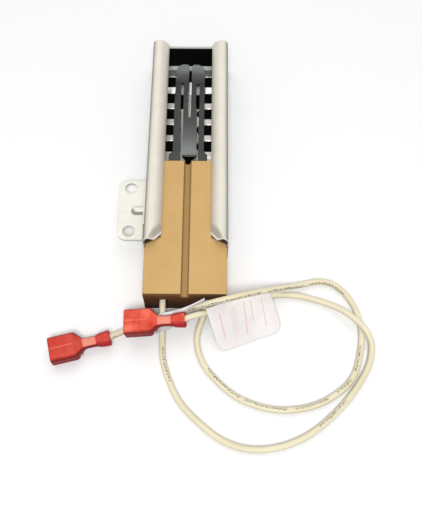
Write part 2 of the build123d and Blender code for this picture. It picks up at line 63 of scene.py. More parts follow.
# ------------------------------------------------------------------ node helpers
class Mat:
    """Small helper that builds a node material with a Principled shader."""

    def __init__(self, name, **sockets):
        self.mat = bpy.data.materials.new(name)
        self.mat.use_nodes = True
        self.t = self.mat.node_tree
        self.b = self.t.nodes["Principled BSDF"]
        for key, value in sockets.items():
            self.b.inputs[key.replace("_", " ")].default_value = value
        coord = self.t.nodes.new("ShaderNodeTexCoord")
        self.obj = coord.outputs["Object"]
        self.face = coord.outputs["Normal"]

    def node(self, kind, **props):
        n = self.t.nodes.new(kind)
        for k, v in props.items():
            setattr(n, k, v)
        return n

    def link(self, a, b):
        self.t.links.new(a, b)

    def mapped(self, scale, source=None, rot=(0, 0, 0)):
        m = self.node("ShaderNodeMapping")
        m.inputs["Scale"].default_value = scale
        m.inputs["Rotation"].default_value = rot
        self.link(source or self.obj, m.inputs["Vector"])
        return m.outputs["Vector"]

    def noise(self, vector, scale=1.0, detail=4.0, rough=0.55, distortion=0.0):
        n = self.node("ShaderNodeTexNoise")
        n.inputs["Scale"].default_value = scale
        n.inputs["Detail"].default_value = detail
        n.inputs["Roughness"].default_value = rough
        n.inputs["Distortion"].default_value = distortion
        self.link(vector, n.inputs["Vector"])
        return n.outputs["Fac"]

    def ramp(self, fac, stops, interpolation="LINEAR"):
        r = self.node("ShaderNodeValToRGB")
        r.color_ramp.interpolation = interpolation
        els = r.color_ramp.elements
        while len(els) < len(stops):
            els.new(0.5)
        for e, (pos, col) in zip(els, stops):
            e.position = pos
            e.color = (*col, 1.0) if len(col) == 3 else col
        self.link(fac, r.inputs["Fac"])
        return r.outputs["Color"]

    def math(self, op, a, b=None, clamp=False):
        m = self.node("ShaderNodeMath", operation=op, use_clamp=clamp)
        for i, x in enumerate((a, b)):
            if x is None:
                continue
            if isinstance(x, (int, float)):
                m.inputs[i].default_value = x
            else:
                self.link(x, m.inputs[i])
        return m.outputs[0]

    def mix(self, fac, a, b, mode="MIX"):
        m = self.node("ShaderNodeMix", data_type="RGBA", blend_type=mode)
        for sock, x in ((m.inputs[0], fac), (m.inputs[6], a), (m.inputs[7], b)):
            if isinstance(x, (int, float)):
                sock.default_value = x
            elif isinstance(x, tuple):
                sock.default_value = (*x, 1.0)
            else:
                self.link(x, sock)
        return m.outputs[2]

    def bump(self, height, strength=0.3, distance=0.0001, under=None):
        n = self.node("ShaderNodeBump")
        n.inputs["Strength"].default_value = strength
        n.inputs["Distance"].default_value = distance
        self.link(height, n.inputs["Height"])
        if under is not None:
            self.link(under, n.inputs["Normal"])
        return n.outputs["Normal"]

    def rounded(self, radius):
        n = self.node("ShaderNodeBevel", samples=4)
        n.inputs["Radius"].default_value = radius
        return n.outputs["Normal"]

    def xyz(self, vector):
        n = self.node("ShaderNodeSeparateXYZ")
        self.link(vector, n.inputs[0])
        return n.outputs[0], n.outputs[1], n.outputs[2]

    def step(self, value, low, high):
        """0 below low, 1 above high, smooth between."""
        n = self.node("ShaderNodeMapRange", interpolation_type="SMOOTHSTEP")
        n.inputs["From Min"].default_value = low
        n.inputs["From Max"].default_value = high
        self.link(value, n.inputs["Value"])
        return n.outputs["Result"]

    def span(self, value, low, high):
        """1 between low and high, 0 outside."""
        return self.math("MULTIPLY", self.math("GREATER_THAN", value, low), self.math("LESS_THAN", value, high))

    def flip(self, value):
        return self.math("SUBTRACT", 1.0, value)

    def from_centre(self, x, centre=0.0052):
        return self.math("ABSOLUTE", self.math("SUBTRACT", x, centre))

    def to(self, socket, value):
        self.link(value, self.b.inputs[socket])


def grey(v):
    return (v, v, v)


# ------------------------------------------------------------------ materials
def steel(name, tint, rough, streak_axis=1, metal=0.85, dirt=0.25, edge=0.00015):
    m = Mat(name, Metallic=metal)
    s = [900.0, 900.0, 900.0]
    s[streak_axis] = 22.0
    streaks = m.noise(m.mapped(tuple(s)), 1.0, 3.0, 0.6)
    cloud = m.noise(m.obj, 95.0, 5.0, 0.6)
    spots = m.noise(m.obj, 700.0, 3.0, 0.7)
    base = m.ramp(cloud, [(0.25, tuple(c * (1 - dirt) for c in tint)), (0.6, tint), (0.85, tuple(min(1, c * 1.05) for c in tint))])
    base = m.mix(m.ramp(streaks, [(0.3, grey(0.0)), (0.75, grey(0.35))]), base, tuple(c * 0.82 for c in tint))
    base = m.mix(m.ramp(spots, [(0.68, grey(0.0)), (0.8, grey(0.5))]), base, tuple(c * 0.6 for c in tint))
    m.to("Base Color", base)
    r = m.math("ADD", m.math("MULTIPLY", streaks, 0.22), m.math("MULTIPLY", cloud, 0.12))
    m.to("Roughness", m.math("ADD", r, rough - 0.16, clamp=True))
    m.to("Normal", m.bump(streaks, 0.12, 0.00006, m.rounded(edge)))
    return m.mat


def ceramic(name, light, dark, rough=0.8, grain=1500.0, spot=(0.3, 0.22, 0.12), edge=0.0002):
    m = Mat(name, Roughness=rough)
    cloud = m.noise(m.obj, 70.0, 6.0, 0.6)
    fine = m.noise(m.obj, grain, 4.0, 0.7)
    drag = m.noise(m.mapped((1400.0, 40.0, 1400.0)), 1.0, 3.0, 0.5)
    base = m.ramp(cloud, [(0.3, dark), (0.7, light)])
    base = m.mix(m.ramp(fine, [(0.45, grey(0.0)), (0.8, grey(0.35))]), base, spot)
    base = m.mix(m.ramp(drag, [(0.5, grey(0.0)), (0.9, grey(0.3))]), base, dark)
    m.to("Base Color", base)
    m.to("Roughness", m.math("ADD", m.math("MULTIPLY", fine, 0.2), rough - 0.1, clamp=True))
    m.to("Normal", m.bump(m.math("ADD", fine, drag), 0.25, 0.00008, m.rounded(edge)))
    return m.mat


def channel_steel():
    """Ivory matte lips and paler bare steel on the floor; painted light makes the rungs at the tip end and the slot
    edges near white, painted shade darkens the outer bends, the faces that face along the channel, the crimped lip
    corners, the inner lip edges near the block, the undersides and the louver tab, and a painted highlight runs along
    the lip ends.
    """
    m = Mat("channel_steel")
    x, y, z = m.xyz(m.obj)
    nx, ny, nz = m.xyz(m.face)
    out = m.from_centre(x)
    streaks = m.noise(m.mapped((1100.0, 22.0, 1100.0)), 1.0, 3.0, 0.6)
    wide = m.noise(m.mapped((420.0, 9.0, 420.0)), 1.0, 2.0, 0.5)
    cross = m.noise(m.mapped((60.0, 900.0, 900.0)), 1.0, 3.0, 0.6)
    cloud = m.noise(m.obj, 90.0, 5.0, 0.6)
    spots = m.noise(m.obj, 800.0, 3.0, 0.7)
    high = m.step(z, 0.0018, 0.0028)
    lip = m.ramp(cloud, [(0.3, (0.77, 0.73, 0.62)), (0.7, (0.85, 0.81, 0.70))])
    lip = m.mix(m.ramp(streaks, [(0.35, grey(0.0)), (0.8, grey(0.4))]), lip, (0.68, 0.64, 0.54))
    lip = m.mix(m.ramp(wide, [(0.4, grey(0.0)), (0.7, grey(0.5))]), lip, (0.70, 0.675, 0.59))
    low = m.ramp(cloud, [(0.3, (0.70, 0.68, 0.62)), (0.7, (0.80, 0.78, 0.73))])
    low = m.mix(m.ramp(cross, [(0.35, grey(0.0)), (0.8, grey(0.25))]), low, (0.6, 0.58, 0.54))
    # painted light: the rungs at the tip end are made near white, standing in for light that the element blocks
    painted_light_area = m.step(y, 0.0365, 0.0375)
    along_pitch = m.math("FRACT", m.math("DIVIDE", m.math("SUBTRACT", y, 0.01525 - 0.0075), 0.0075))
    # painted highlight: a pale line along the near edge of each slot
    painted_highlight_edge = m.math("MULTIPLY", m.flip(m.step(along_pitch, 0.05, 0.09)), m.step(out, 0.0062, 0.0066))
    painted_light_area = m.math("MAXIMUM", painted_light_area, painted_highlight_edge)
    low = m.mix(painted_light_area, low, (0.97, 0.96, 0.94))
    # painted shade: the louver tab is made dark grey where it tilts away from the light
    tab = m.math("MULTIPLY", m.step(y, 0.0453, 0.0456), m.flip(m.step(y, 0.0492, 0.0494)))
    low = m.mix(tab, low, (0.27, 0.265, 0.25))
    base = m.mix(high, low, lip)
    base = m.mix(m.ramp(spots, [(0.7, grey(0.0)), (0.82, grey(0.25))]), base, (0.5, 0.48, 0.42))
    # painted shade: near black on the outer bends of the lips and on upper faces that face along the channel
    bend_painted_shade = m.step(out, 0.0131, 0.0143)
    ends_painted_shade = m.step(m.math("ABSOLUTE", ny), 0.75, 0.95)
    edge = m.math("MULTIPLY", m.math("MAXIMUM", bend_painted_shade, ends_painted_shade), high)
    base = m.mix(m.math("MULTIPLY", edge, 0.85), base, (0.13, 0.125, 0.115))
    # painted shade: grey on the crimped corners at the lip ends
    facet_painted_shade = m.math("MULTIPLY", m.step(m.math("MULTIPLY", ny, -1.0), 0.06, 0.16), m.flip(ends_painted_shade))
    facet_painted_shade = m.math("MULTIPLY", facet_painted_shade, m.flip(m.step(y, -0.026, -0.024)))
    bevel = m.math("ADD", y, m.math("MULTIPLY", out, 1.57))
    facet_painted_shade = m.math("MULTIPLY", facet_painted_shade, m.flip(m.step(bevel, -0.0134, -0.0125)))
    facet_painted_shade = m.math("MULTIPLY", facet_painted_shade, m.math("SUBTRACT", 1.0, m.math("MULTIPLY", m.step(out, 0.0103, 0.0125), 0.45)))
    base = m.mix(m.math("MULTIPLY", facet_painted_shade, 0.7), base, (0.36, 0.345, 0.30))
    # painted highlight: a near-white line along the lip ends
    rim = m.math("MAXIMUM", m.flip(m.step(m.math("ADD", y, m.math("MULTIPLY", out, 1.32)), -0.0184, -0.0180)),
                 m.flip(m.step(m.math("ADD", y, m.math("MULTIPLY", out, 0.27)), -0.0299, -0.0297)))
    base = m.mix(m.math("MULTIPLY", m.math("MULTIPLY", rim, high), m.step(nz, 0.1, 0.3)), base, (0.93, 0.915, 0.88))
    # painted shade: darker towards the lips' inner edges on the lower half
    inner = m.math("MULTIPLY", m.flip(m.step(out, 0.0084, 0.0108)), m.flip(m.step(y, -0.005, 0.035)))
    base = m.mix(m.math("MULTIPLY", m.math("MULTIPLY", inner, high), 0.22), base, (0.45, 0.43, 0.37))
    # painted shade: near black on the downward faces of the lips and walls
    below = m.math("MULTIPLY", m.step(m.math("MULTIPLY", nz, -1.0), 0.0, 0.3), high)
    base = m.mix(m.math("MULTIPLY", below, 0.85), base, (0.03, 0.028, 0.025))
    m.to("Base Color", base)
    shine = m.math("MAXIMUM", m.step(out, 0.0055, 0.0062), m.flip(m.step(out, 0.0012, 0.0016)))
    shine = m.math("MULTIPLY", m.math("MULTIPLY", shine, painted_light_area), m.flip(m.math("MAXIMUM", high, m.step(y, 0.0451, 0.0453))))
    matt = m.math("MAXIMUM", high, m.math("MULTIPLY", painted_light_area, m.flip(shine)))
    m.to("Metallic", m.math("SUBTRACT", m.math("ADD", 0.8, m.math("MULTIPLY", shine, 0.15)), m.math("MULTIPLY", matt, 0.6)))
    r = m.math("ADD", m.math("MULTIPLY", streaks, 0.16), m.math("MULTIPLY", cloud, 0.1))
    r = m.math("ADD", r, m.math("MULTIPLY", matt, 0.2))
    r = m.math("SUBTRACT", r, m.math("MULTIPLY", shine, 0.1))
    m.to("Roughness", m.math("ADD", r, 0.2, clamp=True))
    m.to("Normal", m.bump(streaks, 0.1, 0.00005, m.rounded(0.00018)))
    return m.mat


def cover_steel():
    """Near-black painted shade standing in for the dark seen through the slots and in the end wall, with a pale steel
    edge on top of the end wall.
    """
    m = Mat("cover_steel", Specular_IOR_Level=0.05)
    x, y, z = m.xyz(m.obj)
    cloud = m.noise(m.obj, 120.0, 5.0, 0.6)
    fine = m.noise(m.obj, 1300.0, 3.0, 0.6)
    # painted shade: near-black base for the whole plate
    base = m.ramp(cloud, [(0.3, (0.0025, 0.0025, 0.0025)), (0.75, (0.006, 0.0055, 0.005))])
    base = m.mix(m.ramp(fine, [(0.6, grey(0.0)), (0.85, grey(0.35))]), base, (0.014, 0.013, 0.012))
    base = m.mix(m.step(z, 0.0111, 0.0113), base, (0.55, 0.53, 0.5))
    m.to("Base Color", base)
    m.to("Roughness", m.math("ADD", m.math("MULTIPLY", fine, 0.15), 0.75))
    m.to("Normal", m.bump(fine, 0.2, 0.00005))
    return m.mat


def bracket_steel():
    """Pale satin sheet, with painted shade on faces that turn away from the top and darker painted shade on upper faces
    that look towards -x and -y, such as the rib's left end and lower side.
    """
    m = Mat("bracket_steel")
    x, y, z = m.xyz(m.obj)
    nx, ny, nz = m.xyz(m.face)
    streaks = m.noise(m.mapped((30.0, 1000.0, 1000.0)), 1.0, 3.0, 0.6)
    cloud = m.noise(m.obj, 110.0, 5.0, 0.6)
    base = m.ramp(cloud, [(0.3, (0.80, 0.79, 0.69)), (0.7, (0.87, 0.855, 0.76))])
    base = m.mix(m.ramp(streaks, [(0.4, grey(0.0)), (0.8, grey(0.3))]), base, (0.74, 0.72, 0.63))
    # painted shade on the sides of the sheet
    side = m.step(m.math("ABSOLUTE", nz), 0.25, 0.8)
    base = m.mix(m.math("MULTIPLY", m.flip(side), 0.6), base, (0.3, 0.3, 0.29))
    # painted shade on upper faces towards -x and -y: the rib's left end and lower side
    near = m.math("MULTIPLY", m.math("ADD", nx, m.math("MULTIPLY", ny, 1.2)), -1.0)
    near = m.math("MULTIPLY", m.step(near, 0.25, 0.85), m.step(z, 0.0064, 0.0066))
    base = m.mix(m.math("MULTIPLY", near, 0.65), base, (0.17, 0.165, 0.15))
    m.to("Base Color", base)
    m.to("Metallic", m.math("ADD", m.math("MULTIPLY", cloud, 0.15), 0.15))
    m.to("Roughness", m.math("ADD", m.math("MULTIPLY", streaks, 0.2), 0.32))
    m.to("Normal", m.bump(streaks, 0.08, 0.00005, m.rounded(0.00015)))
    return m.mat


def block_ceramic():
    """Tan unglazed ceramic; painted shade makes the lead end face a dark brown that deepens downwards and towards +x
    and darkens the groove, the rings round the lead holes and the side walls, and a painted shadow darkens the top
    beside the lip ends.
    """
    m = Mat("block_ceramic", Specular_IOR_Level=0.3)
    x, y, z = m.xyz(m.obj)
    nx, ny, nz = m.xyz(m.face)
    cloud = m.noise(m.obj, 65.0, 6.0, 0.6)
    fine = m.noise(m.obj, 1600.0, 4.0, 0.7)
    pits = m.noise(m.obj, 420.0, 3.0, 0.7)
    drag = m.noise(m.mapped((1400.0, 36.0, 1400.0)), 1.0, 3.0, 0.5)
    base = m.ramp(cloud, [(0.3, (0.575, 0.355, 0.132)), (0.7, (0.645, 0.41, 0.165))])
    base = m.mix(m.ramp(fine, [(0.45, grey(0.0)), (0.8, grey(0.3))]), base, (0.5, 0.32, 0.13))
    base = m.mix(m.ramp(drag, [(0.5, grey(0.0)), (0.9, grey(0.25))]), base, (0.52, 0.34, 0.135))
    base = m.mix(m.ramp(pits, [(0.70, grey(0.0)), (0.8, grey(0.4))]), base, (0.36, 0.22, 0.09))
    # painted shade and painted shadow: the lead end face darkens downwards, and more towards +x where the leads shade
    # it
    level = m.math("DIVIDE", m.math("SUBTRACT", z, 0.001), 0.0115)
    lead_end_painted_shade = m.ramp(level, [(0.0, (0.03, 0.008, 0.001)), (0.16, (0.045, 0.012, 0.001)), (0.48, (0.08, 0.026, 0.004)), (0.81, (0.125, 0.05, 0.011)), (1.0, (0.15, 0.066, 0.016))])
    lead_end_painted_shade = m.mix(m.math("MULTIPLY", m.step(x, 0.003, 0.014), 0.6), lead_end_painted_shade, (0.02, 0.007, 0.002))
    base = m.mix(m.step(m.math("MULTIPLY", ny, -1.0), 0.16, 0.42), base, lead_end_painted_shade)
    out = m.from_centre(x)
    # painted shade in the groove, darker still along its edges
    groove = m.math("MULTIPLY", m.flip(m.step(out, 0.00118, 0.00128)), m.step(z, 0.0095, 0.0102))
    base = m.mix(m.math("MULTIPLY", groove, 0.75), base, (0.34, 0.2, 0.065))
    line = m.math("MULTIPLY", m.math("MULTIPLY", m.step(out, 0.00085, 0.0011), m.flip(m.step(out, 0.0013, 0.0015))), m.step(z, 0.0095, 0.0102))
    base = m.mix(m.math("MULTIPLY", line, 0.5), base, (0.22, 0.125, 0.04))
    # painted shadow: near black on the block's top beside and under the lip ends
    beside = m.math("ADD", y, m.math("MULTIPLY", out, 0.49))
    under_lip_painted_shadow = m.math("MULTIPLY", m.step(out, 0.0083, 0.0088), m.step(beside, -0.0274, -0.0267))
    base = m.mix(m.math("MULTIPLY", under_lip_painted_shadow, 0.92), base, (0.012, 0.009, 0.006))
    # painted shade: a dark ring round each lead hole
    px = m.math("SUBTRACT", m.from_centre(x), 0.007)
    pz = m.math("SUBTRACT", z, 0.0065)
    hole = m.math("SQRT", m.math("ADD", m.math("MULTIPLY", px, px), m.math("MULTIPLY", pz, pz)))
    base = m.mix(m.flip(m.step(hole, 0.0018, 0.0019)), base, (0.012, 0.009, 0.006))
    # painted shade on the side walls
    walls = m.math("MULTIPLY", m.step(m.math("ABSOLUTE", nx), 0.7, 0.95), 0.6)
    base = m.mix(walls, base, (0.25, 0.16, 0.07))
    m.to("Base Color", base)
    m.to("Roughness", m.math("ADD", m.math("MULTIPLY", fine, 0.2), 0.62))
    m.to("Normal", m.bump(m.math("ADD", fine, drag), 0.2, 0.00007, m.rounded(0.00025)))
    return m.mat


def element_ceramic():
    """Dark grey silicon carbide, paler at the free end of the bar and round the tip."""
    m = Mat("silicon_carbide", Specular_IOR_Level=0.3)
    x, y, z = m.xyz(m.obj)
    cloud = m.noise(m.obj, 160.0, 5.0, 0.6)
    fine = m.noise(m.obj, 2600.0, 4.0, 0.7)
    legs = m.ramp(m.step(y, 0.0, 0.05), [(0.0, grey(0.07)), (0.55, grey(0.062)), (0.75, grey(0.05)), (0.86, grey(0.04)),
                                         (0.93, grey(0.1)), (0.98, grey(0.24))])
    bar = m.ramp(m.step(y, 0.005, 0.0236), [(0.0, grey(0.26)), (0.35, grey(0.15)), (1.0, grey(0.066))])
    on_bar = m.math("MULTIPLY", m.flip(m.step(m.from_centre(x), 0.0027, 0.003)), m.flip(m.step(y, 0.022, 0.0236)))
    base = m.mix(on_bar, legs, bar)
    base = m.mix(0.25, base, m.ramp(cloud, [(0.3, grey(0.3)), (0.7, grey(1.0))]), "MULTIPLY")
    base = m.mix(m.ramp(fine, [(0.6, grey(0.0)), (0.85, grey(0.2))]), base, (0.2, 0.22, 0.22))
    base = m.mix(1.0, base, (0.95, 1.03, 0.98), "MULTIPLY")
    m.to("Base Color", base)
    m.to("Roughness", m.math("ADD", m.math("MULTIPLY", fine, 0.2), 0.55))
    m.to("Normal", m.bump(fine, 0.3, 0.00006, m.rounded(0.0001)))
    return m.mat


channel_mat = channel_steel()
cover_mat = cover_steel()
bracket_mat = bracket_steel()
weld_mat = steel("weld_metal", (0.5, 0.48, 0.46), 0.5, metal=0.8)
block_mat = block_ceramic()
element_mat = element_ceramic()
pad_mat = ceramic("pad_ceramic", (0.06, 0.067, 0.062), (0.034, 0.038, 0.035), 0.6, 2200.0, (0.1, 0.11, 0.1))
cement_mat = ceramic("cement", (0.4, 0.36, 0.3), (0.26, 0.23, 0.18), 0.9, 900.0, (0.5, 0.46, 0.4))
clip_mat = steel("clip_metal", (0.7, 0.67, 0.62), 0.4)
wire_mat = steel("nickel_wire", (0.75, 0.72, 0.68), 0.35)
brass_mat = steel("tinned_brass", (0.82, 0.76, 0.6), 0.3)

# sleeving: u runs along the lead in units of one braid pitch, v once round it
m = Mat("lead_sleeving", Sheen_Weight=0.1)
uv = m.node("ShaderNodeUVMap", uv_map="along").outputs["UV"]
u, v, _ = m.xyz(uv)


def wave(sign):
    phase = m.math("ADD", u, m.math("MULTIPLY", v, 8.0 * sign))
    return m.math("SINE", m.math("MULTIPLY", phase, 2 * math.pi))


weave = m.math("MULTIPLY", wave(1), wave(-1))
weave01 = m.math("ADD", m.math("MULTIPLY", weave, 0.5), 0.5)
cloud = m.noise(m.obj, 60.0, 4.0, 0.6)
fine = m.noise(m.obj, 900.0, 3.0, 0.6)
col = m.ramp(cloud, [(0.3, (0.80, 0.72, 0.49)), (0.7, (0.90, 0.83, 0.62))])
col = m.mix(m.math("MULTIPLY", m.flip(weave01), 0.2), col, (0.6, 0.52, 0.34))
col = m.mix(m.math("MULTIPLY", fine, 0.12), col, (0.6, 0.52, 0.36))
# painted shade: darker on the sides and underside of the lead
nx, ny, nz = m.xyz(m.face)
col = m.mix(m.math("MULTIPLY", m.flip(m.step(nz, 0.0, 0.8)), 0.62), col, (0.40, 0.36, 0.27))
# generic ink ticks in a row along one side, in stretches; the right lead's u starts at 400
row = m.node("ShaderNodeCombineXYZ")
m.link(m.math("MULTIPLY", u, 3.1), row.inputs[0])
m.link(m.math("MULTIPLY", v, 17.0), row.inputs[1])
tick = m.noise(row.outputs[0], 1.0, 1.0, 0.5)
lane = m.math("SUBTRACT", 0.455, m.math("MULTIPLY", m.step(u, 465.0, 500.0), 0.1))
band = m.math("LESS_THAN", m.math("ABSOLUTE", m.math("SUBTRACT", v, lane)), 0.06)
printed = None
for low, high in ((16, 25.5), (70.5, 80), (423, 434), (435, 446), (448, 457), (459.5, 464.5), (467, 474), (489, 500), (502, 514), (516, 537), (549, 562)):
    piece = m.span(u, float(low), float(high))
    printed = piece if printed is None else m.math("MAXIMUM", printed, piece)
ink = m.math("MULTIPLY", m.math("GREATER_THAN", tick, 0.53), m.math("MULTIPLY", band, printed))
m.to("Base Color", m.mix(m.math("MULTIPLY", ink, 0.93), col, (0.03, 0.027, 0.024)))
m.to("Roughness", m.math("ADD", m.math("MULTIPLY", fine, 0.25), 0.42))
m.to("Normal", m.bump(m.math("ADD", weave01, m.math("MULTIPLY", fine, 0.3)), 0.35, 0.00006))
lead_mat = m.mat

# red insulator: partly clear nylon; u of its UV map is millimetres from the barrel end, v once round it
m = Mat("red_insulator", IOR=1.5, Subsurface_Weight=0.08, Subsurface_Scale=0.0008, Specular_IOR_Level=0.05)
m.b.inputs["Subsurface Radius"].default_value = (1.0, 0.2, 0.1)
along, round_it, _ = m.xyz(m.node("ShaderNodeUVMap", uv_map="shell").outputs["UV"])
x, y, z = m.xyz(m.obj)
nx, ny, nz = m.xyz(m.face)
cloud = m.noise(m.obj, 260.0, 3.0, 0.5)
fine = m.noise(m.obj, 1500.0, 3.0, 0.6)
top = m.ramp(cloud, [(0.28, (0.62, 0.055, 0.035)), (0.5, (0.80, 0.11, 0.07)), (0.72, (0.95, 0.25, 0.16))])
top = m.mix(m.math("MULTIPLY", m.flip(m.step(x, -0.018, -0.016)), 0.7), top, (0.52, 0.04, 0.032))
# painted shade: the sides and underside take a much darker crimson than the top
side = m.ramp(cloud, [(0.3, (0.13, 0.002, 0.008)), (0.7, (0.22, 0.005, 0.014))])
col = m.mix(m.step(nz, 0.45, 0.93), side, top)
# painted shade in the crease across the body
crease_painted_shade = m.math("ABSOLUTE", m.math("SUBTRACT", along, 14.9))
col = m.mix(m.math("MULTIPLY", m.flip(m.step(crease_painted_shade, 0.1, 0.35)), 0.35), col, (0.5, 0.03, 0.03))
# painted highlight: a pale line along the top of the body
top_line_painted_highlight = m.math("ABSOLUTE", m.math("SUBTRACT", m.math("FRACT", m.math("ADD", round_it, 0.5)), 0.5))
top_line_painted_highlight = m.math("MULTIPLY", m.flip(m.step(top_line_painted_highlight, 0.006, 0.014)), m.step(along, 12.0, 12.6))
col = m.mix(m.math("MULTIPLY", top_line_painted_highlight, 0.3), col, (0.95, 0.3, 0.2))
# painted shade round the mouth end
mouth_painted_shade = m.step(along, 19.7, 20.1)
col = m.mix(m.math("MULTIPLY", mouth_painted_shade, 0.6), col, (0.42, 0.012, 0.03))
# painted highlight on the top of the neck
neck_painted_highlight = m.math("MULTIPLY", m.step(along, 4.7, 5.0), m.flip(m.step(along, 8.9, 9.5)))
neck_painted_highlight = m.math("MULTIPLY", neck_painted_highlight, m.step(nz, 0.5, 0.85))
col = m.mix(m.math("MULTIPLY", neck_painted_highlight, 0.8), col, (0.88, 0.34, 0.25))
# painted shade on the sides and underside of the barrel
barrel = m.math("MULTIPLY", m.flip(m.step(along, 4.3, 4.8)), m.flip(m.step(nz, 0.75, 0.98)))
col = m.mix(m.math("MULTIPLY", barrel, 0.6), col, (0.42, 0.014, 0.028))
m.to("Base Color", m.mix(m.math("MULTIPLY", fine, 0.1), col, (0.95, 0.25, 0.16)))
m.to("Roughness", m.math("ADD", m.math("MULTIPLY", fine, 0.14), 0.3))
m.to("Normal", m.bump(m.math("ADD", m.noise(m.obj, 420.0, 2.0, 0.5), m.math("MULTIPLY", fine, 0.12)), 0.2, 0.0003))
red_mat = m.mat

# paper tag: blank coated stock with a few thin pale rules
m = Mat("tag_paper", Sheen_Weight=0.05)
u, v, _ = m.xyz(m.node("ShaderNodeUVMap", uv_map="sheet").outputs["UV"])
fibre = m.noise(m.obj, 1800.0, 4.0, 0.6)
soft = m.noise(m.obj, 120.0, 3.0, 0.5)
col = m.ramp(soft, [(0.3, (0.80, 0.755, 0.74)), (0.7, (0.90, 0.86, 0.85))])
col = m.mix(m.math("MULTIPLY", fibre, 0.06), col, (0.7, 0.66, 0.62))


def bar(coord, centre, half):
    return m.math("LESS_THAN", m.math("ABSOLUTE", m.math("SUBTRACT", coord, centre)), half)


def span(coord, low, high):
    return bar(coord, (low + high) / 2, (high - low) / 2)


rules = None
for u0, v0, v1, half in ((0.14, 0.2, 0.78, 0.008), (0.3, 0.16, 0.84, 0.006), (0.38, 0.16, 0.7, 0.006), (0.46, 0.16, 0.78, 0.006),
                         (0.6, 0.14, 0.84, 0.006), (0.68, 0.14, 0.62, 0.006), (0.82, 0.14, 0.8, 0.006)):
    piece = m.math("MULTIPLY", bar(u, u0, half), span(v, v0, v1))
    rules = piece if rules is None else m.math("MAXIMUM", rules, piece)
col = m.mix(m.math("MULTIPLY", rules, 0.5), col, (0.75, 0.3, 0.33))
shaded = m.math("MULTIPLY", m.math("GREATER_THAN", u, 1.5), m.step(v, 0.35, 0.55))
m.to("Base Color", m.mix(m.math("MULTIPLY", shaded, 0.8), col, (0.42, 0.43, 0.42)))
m.to("Roughness", m.math("ADD", m.math("MULTIPLY", fibre, 0.2), 0.35))
m.to("Normal", m.bump(m.math("ADD", m.math("MULTIPLY", fibre, 0.2), soft), 0.15, 0.0002))
tag_mat = m.mat

m = Mat("plain_floor", Roughness=0.9)
m.to("Base Color", m.ramp(m.noise(m.obj, 4.0, 2.0, 0.5), [(0.3, grey(0.945)), (0.7, grey(0.955))]))
floor_mat = m.mat

CAD_MATS = {
    "shield_channel": channel_mat, "rear_cover_plate": cover_mat, "mounting_bracket": bracket_mat,
    "bracket_weld_marks": weld_mat, "ceramic_block": block_mat, "sic_element": element_mat,
    "left_contact_pad": pad_mat, "right_contact_pad": pad_mat, "left_lead_clip": clip_mat,
    "right_lead_clip": clip_mat, "left_inner_conductor": wire_mat, "right_inner_conductor": wire_mat,
    "element_cement_plugs": cement_mat, "lead_cement_plugs": cement_mat, "left_receptacle": brass_mat,
    "right_receptacle": brass_mat, "left_crimp_ferrule": brass_mat, "right_crimp_ferrule": brass_mat,
    "left_conductor_end": wire_mat, "right_conductor_end": wire_mat,
}
for name, mat in CAD_MATS.items():
    slots = NODES[name].material_slots
    if not slots:
        NODES[name].data.materials.append(mat)
    for s in slots:
        s.material = mat


# ------------------------------------------------------------------ leads
LEFT_ROUTE = [
    (-2.29, -46.8, 6.5), (-2.29, -52.1, 6.5), (-2.29, -57.1, 4.5), (-2.35, -62.9, 1.06),
    (-2.1, -70.63, 1.06), (0.24, -77.65, 1.06), (3.72, -84.86, 1.06), (9.35, -90.75, 1.06),
    (17.74, -97.43, 1.06), (26.95, -100.01, 1.06), (36.76, -98.86, 1.06), (45.8, -94.93, 1.06),
    (53.66, -88.55, 1.06), (60.25, -81.69, 1.06), (66.88, -71.59, 1.06), (67.53, -62.92, 3.65),
    (60.62, -55.04, 3.65), (52.59, -50.08, 1.06), (42.12, -47.34, 1.06), (32.36, -47.96, 1.06),
    (23.7, -51.95, 1.6), (15.4, -55.0, 4.6), (9.6, -57.25, 7.6), (4.16, -59.56, 8.46),
]
RIGHT_ROUTE = [
    (12.39, -46.8, 6.5), (12.39, -52.1, 6.5), (11.5, -56.2, 2.4), (8.83, -62.6, 1.06),
    (10.42, -71.16, 1.06), (16.09, -78.27, 1.06), (23.32, -84.1, 1.06), (34.22, -87.54, 1.06),
    (44.55, -86.85, 1.06), (53.03, -83.45, 1.06), (60.89, -77, 1.06), (63.86, -67.34, 1.06),
    (65.07, -57.85, 1.06), (61.14, -47.27, 1.06), (53.68, -41.65, 1.06), (43.46, -44.19, 1.06),
    (34.0, -48.1, 7.3), (24.6, -52.0, 12.0), (17.3, -54.06, 12.4), (10.4, -54.6, 8.8),
    (3.2, -55.2, 3.3), (-5.0, -56.9, 1.06), (-13.2, -60.2, 1.06), (-20.85, -64.55, 3.15),
]
WIRE_D = 2.1


def link(obj):
    bpy.context.scene.collection.objects.link(obj)
    return obj


def spline_points(name, route):
    """Points of the NURBS spline that has the route's points as control points."""
    curve = bpy.data.curves.new(name + "_line", "CURVE")
    curve.dimensions = "3D"
    curve.resolution_u = 24
    sp = curve.splines.new("NURBS")
    sp.points.add(len(route) - 1)
    for p, q in zip(sp.points, route):
        p.co = (q[0] * MM, q[1] * MM, q[2] * MM, 1.0)
    sp.order_u = 3
    sp.use_endpoint_u = True
    holder = link(bpy.data.objects.new(name + "_line", curve))
    bpy.context.view_layer.update()
    mesh = bpy.data.meshes.new_from_object(holder)
    pts = [v.co.copy() for v in mesh.vertices]
    bpy.data.objects.remove(holder)
    bpy.data.curves.remove(curve)
    bpy.data.meshes.remove(mesh)
    return pts


